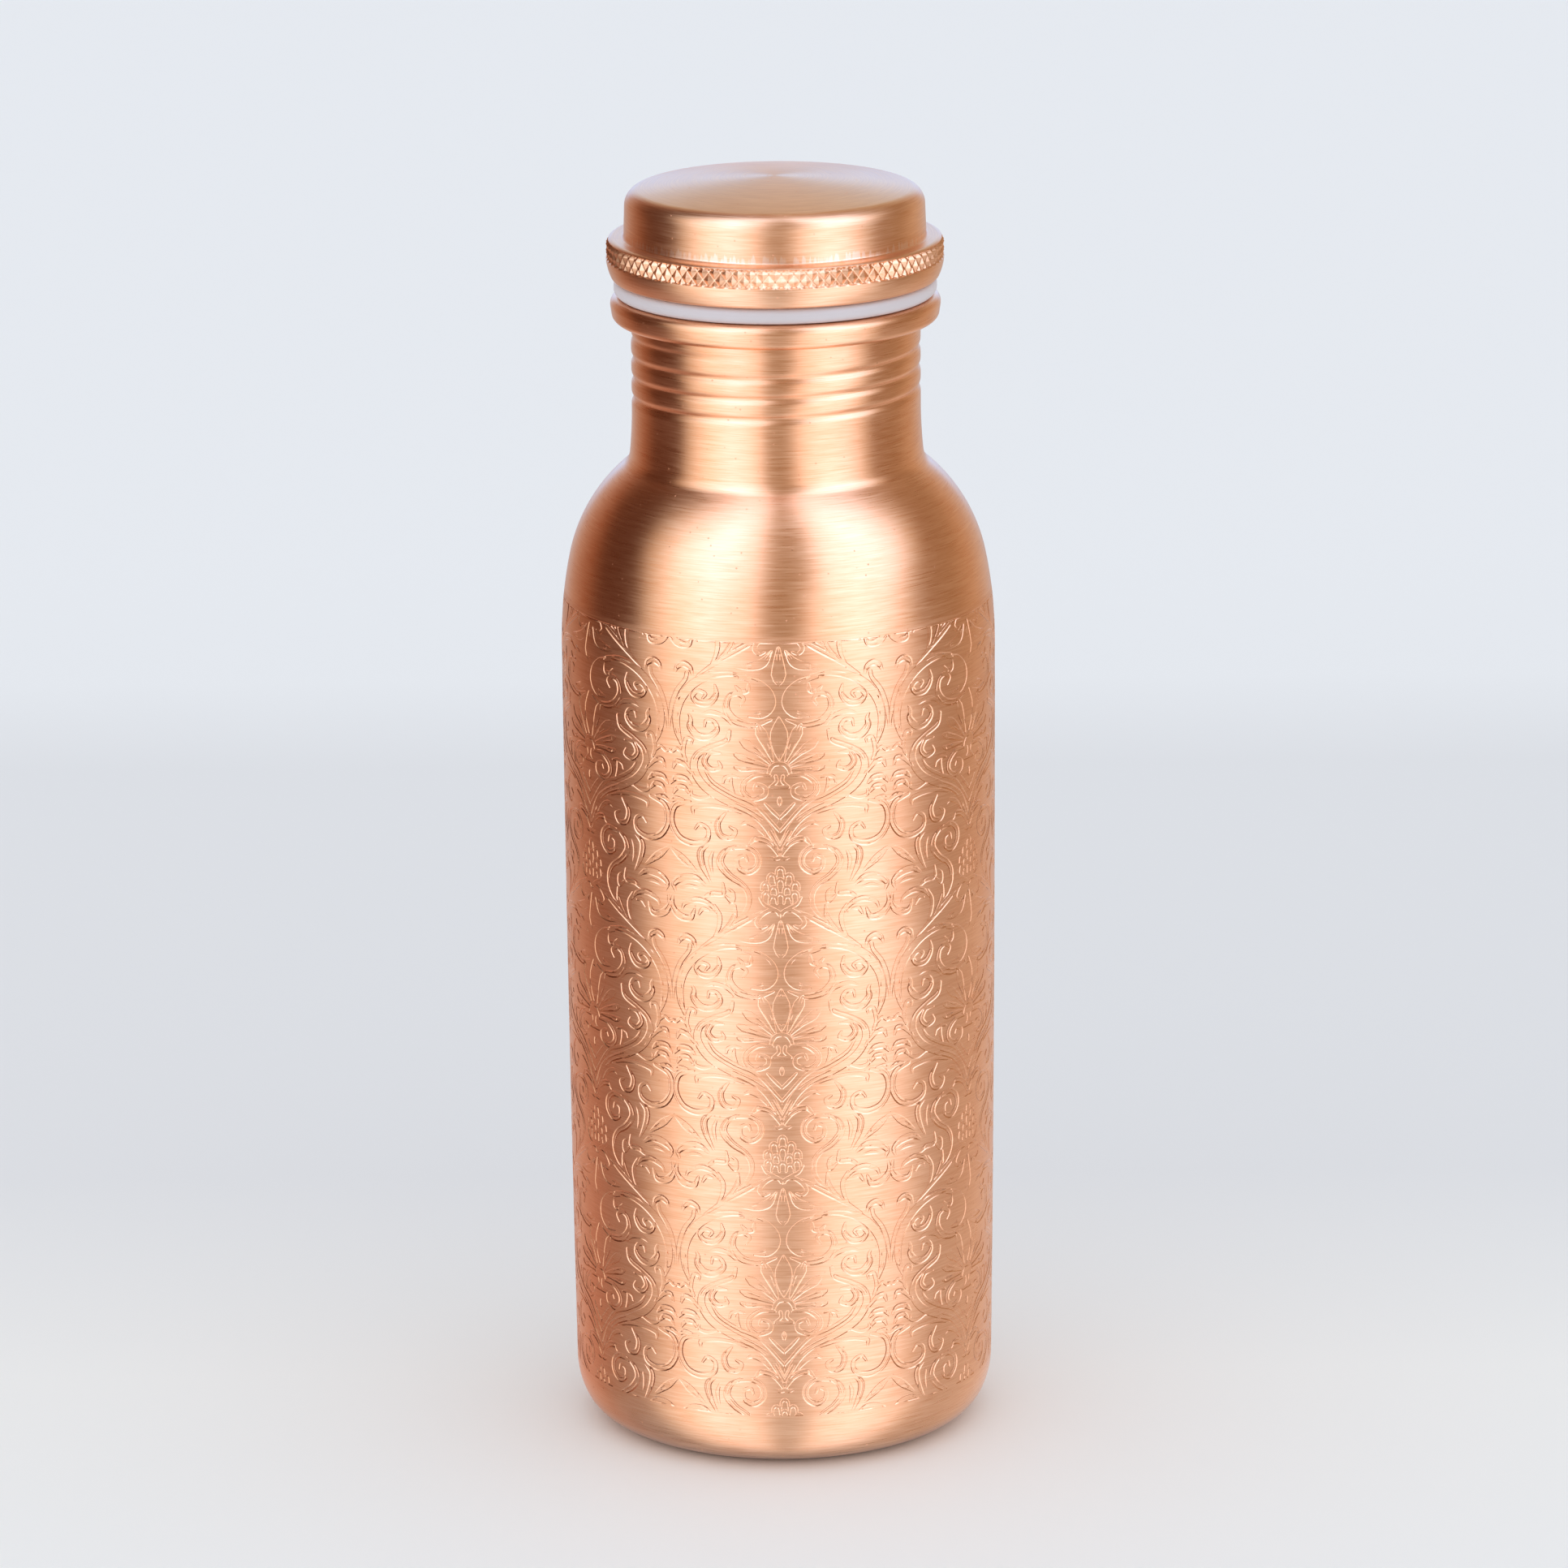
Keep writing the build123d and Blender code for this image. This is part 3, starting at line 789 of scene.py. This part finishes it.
def cell_relief(place, channels, ribs):
    """The depth cut at each point, and the way up the nearest slope."""
    gap, way = nearest(place, channels)
    for mirror in (0.0, 2 * HALF_CELL):
        other = place.copy()
        other[:, 0] = mirror - other[:, 0]
        across, across_way = nearest(other, channels)
        nearer = across < gap - 1e-6
        gap[nearer] = across[nearer]
        way[nearer] = across_way[nearer] * (-1, 1)
    rib_gap, rib_way = nearest(place, ribs)
    standing = -rib_gap > gap
    gap[standing] = -rib_gap[standing]
    way[standing] = -rib_way[standing]
    for cut, up in ((place[:, 1] - ENGRAVED_TOP, 1.0), (ENGRAVED_FOOT - place[:, 1], -1.0)):
        outside = cut > gap
        gap[outside] = cut[outside]
        way[outside] = (0.0, up)
    return ENGRAVED_DEPTH * np.clip(-gap / ENGRAVED_SLOPE, 0, 1), way


def wall_radius(height):
    """Outer radius of the wall, from the sheet's outer face."""
    face = np.array(body_faces[0])
    wall = face[(face[:, 1] > WALL_FOOT) & (face[:, 1] < WALL_TOP) & (face[:, 0] > RING_RADIUS)]
    return np.interp(height, wall[:, 1], wall[:, 0])


def steepness(place, depth, faces):
    """How steeply the depth changes over each triangle."""
    first, second = place[faces[:, 1]] - place[faces[:, 0]], place[faces[:, 2]] - place[faces[:, 0]]
    rise, more = depth[faces[:, 1]] - depth[faces[:, 0]], depth[faces[:, 2]] - depth[faces[:, 0]]
    area = first[:, 0] * second[:, 1] - first[:, 1] * second[:, 0]
    across = (rise * second[:, 1] - more * first[:, 1]) / area
    up = (more * first[:, 0] - rise * second[:, 0]) / area
    return np.hypot(across, up)


def wind(place, depth, way, faces, slope_faces, first):
    """The half cell wound round half of the wall from one cell on: points, corners, a normal
    for each corner, and the points along each upright seam."""
    on_axis = place[:, 0] < SAME_PLACE
    on_middle = place[:, 0] > HALF_CELL - SAME_PLACE
    lean = -(wall_radius(place[:, 1] + 1) - wall_radius(place[:, 1] - 1)) / 2
    radius = wall_radius(place[:, 1]) - depth
    points = []
    corners = []
    normals = []
    seams = {}
    for half in range(2 * first, 2 * (first + CELLS_EACH)):
        number, right = divmod(half, 2)
        side = 1 if right else -1
        angle = CELL_TURN * number + side * place[:, 0] / HALF_CELL * (CELL_TURN / 2) - math.pi / 2
        index = np.zeros(len(place), int)
        xyz = np.stack([radius * np.cos(angle), radius * np.sin(angle), place[:, 1]], 1)
        fresh = np.ones(len(place), bool)
        keys = (("axis", number), on_axis), (("middle", number + right), on_middle)
        for key, mask in keys:
            if key in seams:
                index[mask] = seams[key]
                fresh &= ~mask
        index[fresh] = np.arange(fresh.sum()) + len(points)
        points.extend(map(tuple, xyz[fresh]))
        for key, mask in keys:
            seams.setdefault(key, index[mask])
        out = np.stack([np.cos(angle), np.sin(angle), lean], 1)
        across = np.stack([-np.sin(angle), np.cos(angle), 0 * angle], 1) * side
        tilt = way[:, :1] * across + way[:, 1:] * np.array([[0.0, 0.0, 1.0]])
        sloped = out - STEEPNESS * tilt
        chosen = np.where(slope_faces[:, None, None], sloped[faces], out[faces])
        order = slice(None) if right else slice(None, None, -1)
        corners.append(index[faces][:, order])
        normals.append(chosen[:, order])
    normals = np.vstack(normals).reshape(-1, 3)
    normals /= np.linalg.norm(normals, axis=1)[:, None]
    return points, np.vstack(corners).tolist(), normals.tolist(), seams


def close_behind(points, seams, first):
    """Adds the inner points; gives the inner face, the rims at the foot and the top, and the
    two ends."""
    placed = np.array(points)
    centre = CELL_TURN * (first + CELLS_EACH // 2) - math.pi / 2
    turned = np.arctan2(placed[:, 1], placed[:, 0]) - centre
    turned = np.mod(turned + math.pi, 2 * math.pi)
    rims = []
    for height in (PANEL_FOOT, PANEL_TOP):
        rim = np.flatnonzero(np.abs(placed[:, 2] - height) < SAME_PLACE)
        rim = rim[np.argsort(turned[rim])]
        behind = len(points) + np.arange(len(rim))
        shrink = 1 - PANEL_SHEET / np.hypot(placed[rim, 0], placed[rim, 1])
        points.extend(zip(placed[rim, 0] * shrink, placed[rim, 1] * shrink, placed[rim, 2]))
        rims.append((rim, behind))
    (foot, foot_behind), (top, top_behind) = rims
    closing = []
    for low, high in ((foot_behind, foot), (top, top_behind), (top_behind, foot_behind)):
        closing += [[low[k], low[k + 1], high[k + 1], high[k]] for k in range(len(low) - 1)]
    for key, end in ((("middle", first), 0), (("middle", first + CELLS_EACH), -1)):
        edge = seams[key]
        edge = edge[np.argsort(placed[edge, 2])]
        face = list(edge) + [top_behind[end], foot_behind[end]]
        closing.append(face if end == 0 else face[::-1])
    return [[int(corner) for corner in face] for face in closing]


def engraved_panel(name, cell, first):
    """Half of the wall's engraved skin, from one cell on, closed behind. Cells are counted
    from the one in front."""
    place, depth, way, faces = cell
    slope_faces = steepness(place, depth, faces) > SLOPE_SHARE * STEEPNESS
    points, corners, normals, seams = wind(place, depth, way, faces, slope_faces, first)
    for face in close_behind(points, seams, first):
        corners.append(face)
        a, b, c = (np.array(points[corner]) for corner in (face[0], face[1], face[-2]))
        normal = np.cross(b - a, c - a)
        normal /= np.linalg.norm(normal)
        normals.extend([normal.tolist()] * len(face))
    mesh = bpy.data.meshes.new(name)
    mesh.from_pydata([(x * MM, y * MM, z * MM) for x, y, z in points], [], corners)
    mesh.shade_smooth()
    mesh.normals_split_custom_set(normals)
    on_edge = np.zeros(len(corners), dtype=np.int32)
    on_edge[:CELLS_AROUND * len(faces)] = np.tile(slope_faces, CELLS_AROUND)
    piece = add_piece(mesh, "bottle", [etched, edge_copper])
    mesh.polygons.foreach_set("material_index", on_edge)
    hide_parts("body_shell")


channels, ribs = cell_lines()
place, faces = cell_mesh(channels + ribs)
depth, way = cell_relief(place, channels, ribs)
cell = place, depth, way, faces
engraved_panel("bottle_engraving_front", cell, -1)
engraved_panel("bottle_engraving_back", cell, 2)

# The shell behind the skin: its outer face is let in between the skin's two rims. Below the
# neck its inner face makes do with every other point.
outer = [p for p in body_faces[0] if p[1] < PANEL_FOOT]
for height in (PANEL_FOOT, PANEL_TOP):
    edge = (float(wall_radius(height)), height)
    sunk = (edge[0] - PANEL_SHEET - PANEL_GAP, height)
    outer += [edge, sunk] if height == PANEL_FOOT else [sunk, edge]
outer += [p for p in body_faces[0] if p[1] > PANEL_TOP]
upwards = enumerate(body_faces[1][::-1])
inner = [p for k, p in upwards if p[1] > NECK_STRAIGHT_START or k % 2 == 0][::-1]
body = spin("bottle_shell", outer + inner, SIDES, "bottle", brushed, thread)
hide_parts("body_shell")

# -------- cap
# The sheet's outer face, from the middle of the dome down to the hem
sheet = Outline(0.0, CAP_HEIGHT, 0.0)
sheet.bend(DOME_RADIUS, -math.degrees(math.asin(DOME_EDGE_RADIUS / DOME_RADIUS)), step=0.5)
sheet.bend(DOME_EDGE_BEND, -90.0 + SIDE_FLARE - sheet.heading, step=4.0)
fillet_drop = FLANGE_FILLET * (1 - math.sin(math.radians(SIDE_FLARE)))
sheet.run_to_height(FLANGE_TOP + fillet_drop, step=1.0)
sheet.bend(FLANGE_FILLET, -sheet.heading, step=15.0)
sheet.run_to_radius(FLANGE_RADIUS - FLANGE_TOP_BEND)
sheet.bend(FLANGE_TOP_BEND, -90.0)
sheet.run_to_height(FLANGE_FOOT)
for bend_radius, turn in FLANGE_LIP_BENDS:
    sheet.bend(bend_radius, -turn)
sheet.run_to_radius(HEM_RADIUS)


def knurl(radius, height, angle):
    """Four-sided points rolled into the flange, between grooves that cross both ways."""
    around = angle / (2 * math.pi) * KNURL_COUNT
    down = (KNURL_TOP - KNURL_SHIFT - height) / KNURL_RISE
    points = 1.0
    for groove in (around + down, around - down):
        points = np.minimum(points, 2 * np.abs(groove - np.round(groove)))
    ends = np.minimum(KNURL_TOP - height, height - KNURL_FOOT) / KNURL_FADE
    on_flange = radius > FLANGE_RADIUS - 0.6 * CAP_SHEET    # not on the sheet's inner face
    return np.where(on_flange, -KNURL_DEPTH * (1 - points) * np.clip(ends, 0.0, 1.0), 0.0)


def in_knurl(radius, low, high):
    """Whether a stretch of the outer face lies on the knurled band or at its edges."""
    on_flange = radius > FLANGE_RADIUS - KNURL_REACH
    return on_flange and high > KNURL_FOOT - KNURL_MARGIN and low < KNURL_TOP + KNURL_MARGIN


outer = sheet.face(0.0)
knurled = []
for (radius, height), (next_radius, next_height) in zip(outer, outer[1:]):
    knurled.append((radius, height))
    low, high = sorted((height, next_height))
    if in_knurl(radius, low, high):
        count = math.ceil((high - low) / KNURL_STEP)
        for k in range(1, count):
            share = k / count
            step = (next_radius - radius) * share, (next_height - height) * share
            knurled.append((radius + step[0], height + step[1]))
knurled.append(outer[-1])
cap_outline = knurled + sheet.face(-CAP_SHEET)[::-1]
cap_sides = []
for k, (radius, height) in enumerate(cap_outline):
    fine = k < len(knurled) and in_knurl(radius, height, height)
    cap_sides.append(KNURL_COUNT * (KNURL_SIDES if fine else PLAIN_SIDES))
cap = spin("cap_dome", cap_outline, cap_sides, "cap", satin, knurl, 35.0)
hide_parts("cap_shell")

# -------- plug and seal
silicone = bpy.data.materials.new("white_silicone")
silicone.use_nodes = True
shader = silicone.node_tree.nodes["Principled BSDF"]
shader.inputs["Base Color"].default_value = (0.72, 0.67, 0.69, 1.0)
shader.inputs["Roughness"].default_value = 0.45
for part, material in (("cap_plug", satin), ("seal_ring", silicone)):
    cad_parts[part].data.materials.clear()
    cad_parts[part].data.materials.append(material)

# -------- light
SPREAD_ABOVE = 0.80         # the bands' turns are divided by this higher up
LEAN_ABOVE = 0.012          # and the bands lean by this share of a turn
WHITER = (1.15, 1.38, 1.70)
ROOM_LIGHT = (0.90, 0.92, 0.96)
BACKDROP = (0.788, 0.819, 0.864)


def world_light():
    """A ring of soft light bands for reflections, even light for the rest, a pale backdrop."""
    world = bpy.data.worlds.new("studio")
    bpy.context.scene.world = world
    world.use_nodes = True
    tree = world.node_tree
    background = tree.nodes["Background"]
    place = node(tree, "TexCoord").outputs["Generated"]
    split = node(tree, "SeparateXYZ")
    tree.links.new(place, split.inputs[0])
    x, y, z = split.outputs
    bands = turn_bands([
        (-180, (0.62, 0.60, 0.65)), (-160, (0.58, 0.50, 0.49)), (-145, (0.50, 0.33, 0.26)),
        (-128, (0.33, 0.14, 0.08)), (-112, (0.10, 0.04, 0.025)), (-82, (0.10, 0.04, 0.025)),
        (-72, (0.85, 0.80, 0.75)), (-55, (1.5, 1.45, 1.5)), (-35, (1.8, 1.8, 2.2)),
        (-15, (1.4, 1.35, 1.4)), (-6, (0.42, 0.33, 0.25)), (8, (0.42, 0.33, 0.25)),
        (20, (1.4, 1.35, 1.4)), (40, (1.9, 1.9, 2.3)), (58, (1.6, 1.6, 1.9)), (72, (0.9, 0.85, 0.8)),
        (82, (0.36, 0.25, 0.18)), (108, (0.38, 0.27, 0.18)), (132, (0.59, 0.43, 0.30)),
        (156, (0.62, 0.54, 0.50)), (180, (0.62, 0.60, 0.65)),
    ])
    # higher up, where the shoulder looks, the bands spread out and lean to the right
    turned = math_node(tree, "SUBTRACT", azimuth(tree, x, y), 0.5)
    spread = map_range(tree, z, 0.05, 0.55, 1.0, SPREAD_ABOVE)
    lean = map_range(tree, z, 0.05, 0.55, 0.5, 0.5 - LEAN_ABOVE)
    turned = math_node(tree, "ADD", math_node(tree, "MULTIPLY", turned, spread), lean)
    panels = colour_ramp(tree, turned, bands)
    # the bright panels are whiter higher up
    parts = node(tree, "SeparateColor")
    tree.links.new(panels, parts.inputs[0])
    bright = map_range(tree, parts.outputs[1], 0.6, 1.4)
    upness = map_range(tree, z, -0.10, 0.65)
    panels = blend(tree, math_node(tree, "MULTIPLY", bright, upness), panels, WHITER, "MULTIPLY")
    # above the horizon behind the bottle, where the cap's dome looks
    height = map_range(tree, z, -1.0, 1.0, kind="LINEAR")
    above = colour_ramp(tree, height, [
        (0.0, (0.62, 0.62, 0.68)), (0.45, (0.68, 0.85, 1.1)), (0.52, (0.78, 1.25, 2.1)),
        (0.60, (0.74, 1.1, 1.7)), (0.68, (0.66, 0.78, 0.85)), (0.76, (0.62, 0.60, 0.48)),
        (1.0, (0.6, 0.5, 0.4)),
    ])
    behind = math_node(tree, "MULTIPLY", map_range(tree, y, 0.55, 0.80), map_range(tree, z, -0.20, -0.02))
    aside = math_node(tree, "ABSOLUTE", x)
    behind = math_node(tree, "MULTIPLY", behind, map_range(tree, aside, 0.18, 0.40, 1.0, 0.0))
    seen = blend(tree, behind, panels, above)
    path = node(tree, "LightPath")
    lit = blend(tree, path.outputs["Is Glossy Ray"], ROOM_LIGHT, seen)
    lit = blend(tree, path.outputs["Is Camera Ray"], lit, BACKDROP)
    tree.links.new(lit, background.inputs["Color"])


# -------- floor
# In metres
FLOOR_REACH = 30.0
PAPER_NEAR = -0.08
PAPER_FAR = 0.60
GLOW_REACH = 0.6
GLOW_FADE = (0.30, 0.55)
GLOW_SHARE = 0.35
# painted shade under the bottle, seen in reflections only: how far it reaches, and its colour
PAINTED_SHADE_FADE = (RING_RADIUS * MM, 0.042)
PAINTED_SHADE_COLOUR = (0.03, 0.012, 0.008)


def square_sheet(name, material_name, reach):
    """A level square at the floor's height, with a new material that has nodes."""
    mesh = bpy.data.meshes.new(name)
    corners = [(-reach, -reach, 0.0), (reach, -reach, 0.0), (reach, reach, 0.0), (-reach, reach, 0.0)]
    mesh.from_pydata(corners, [], [(0, 1, 2, 3)])
    sheet = bpy.data.objects.new(name, mesh)
    bpy.context.scene.collection.objects.link(sheet)
    material = bpy.data.materials.new(material_name)
    material.use_nodes = True
    mesh.materials.append(material)
    split = node(material.node_tree, "SeparateXYZ")
    place = node(material.node_tree, "TexCoord").outputs["Object"]
    material.node_tree.links.new(place, split.inputs[0])
    return sheet, material.node_tree, split.outputs


def paper_floor():
    """Pale paper with painted light and shade: lighter near the bottle and in front of it, a little darker
    some way behind it.
    """
    floor, tree, (x, y, z) = square_sheet("floor", "floor_paper", FLOOR_REACH)
    away = map_range(tree, y, PAPER_NEAR, PAPER_FAR, kind="LINEAR")
    # painted light and shade: the paper is lighter near and in front of the bottle and darker in a band
    # behind it
    floor_light_and_shade = colour_ramp(tree, away, [
        (0.0, (0.90, 0.91, 0.90)), (0.14, (0.90, 0.905, 0.885)), (0.30, (0.79, 0.80, 0.81)),
        (0.72, (0.79, 0.80, 0.81)), (0.83, (0.865, 0.88, 0.89)), (1.0, (0.875, 0.89, 0.90)),
    ])
    shader = tree.nodes["Principled BSDF"]
    tree.links.new(floor_light_and_shade, shader.inputs["Base Color"])
    shader.inputs["Roughness"].default_value = 0.9
    floor.visible_glossy = False


def floor_glow():
    """The light the floor gives back to the lower wall, and painted shade, a dark disc right under the
    bottle; both seen in reflections only."""
    glow, tree, (x, y, z) = square_sheet("floor_glow", "floor_glow", GLOW_REACH)
    reach = from_axis(tree, x, y)
    share = map_range(tree, reach, *GLOW_FADE, GLOW_SHARE, 0.0)
    bands = turn_bands([
        (-180, (0.9, 0.8, 0.8)), (-130, (1.0, 0.72, 0.66)), (-108, (1.03, 0.64, 0.58)),
        (-75, (1.05, 0.9, 0.9)), (-40, (1.1, 1.3, 1.6)), (0, (1.1, 1.3, 1.6)),
        (60, (1.15, 1.25, 1.45)), (110, (1.1, 1.1, 1.2)), (180, (0.9, 0.8, 0.8)),
    ])
    colour = colour_ramp(tree, azimuth(tree, x, y), bands)
    # painted shade: a dark disc right under the bottle, seen in reflections, stands in for the shade where
    # the base meets the floor
    under = map_range(tree, reach, *PAINTED_SHADE_FADE, 1.0, 0.0)
    shine = node(tree, "Emission")
    tree.links.new(blend(tree, under, colour, PAINTED_SHADE_COLOUR), shine.inputs["Color"])
    mix = node(tree, "MixShader")
    tree.links.new(math_node(tree, "MAXIMUM", share, under), mix.inputs[0])
    tree.links.new(node(tree, "BsdfTransparent").outputs[0], mix.inputs[1])
    tree.links.new(shine.outputs[0], mix.inputs[2])
    tree.links.new(mix.outputs[0], tree.nodes["Material Output"].inputs["Surface"])
    glow.visible_camera = False
    glow.visible_diffuse = False
    glow.visible_shadow = False
    glow.visible_transmission = False


# -------- camera
CAMERA_PLACE = (0.000729, -1.250, 0.452874)
CAMERA_PITCH = 15.4026      # degrees down
CAMERA_ROLL = -0.4837
CAMERA_LENS = 179.914       # mm, on a sensor 36 mm wide


def photo_camera():
    """The camera at the photograph's angle."""
    lens = bpy.data.cameras.new("camera")
    lens.sensor_width = 36.0
    lens.lens = CAMERA_LENS
    camera = bpy.data.objects.new("camera", lens)
    bpy.context.scene.collection.objects.link(camera)
    camera.location = CAMERA_PLACE
    camera.rotation_euler = (math.radians(90.0 - CAMERA_PITCH), 0.0, 0.0)
    camera.rotation_euler.rotate_axis("Z", math.radians(CAMERA_ROLL))
    bpy.context.scene.camera = camera


world_light()
paper_floor()
floor_glow()
photo_camera()
bpy.context.scene.view_settings.view_transform = "Standard"
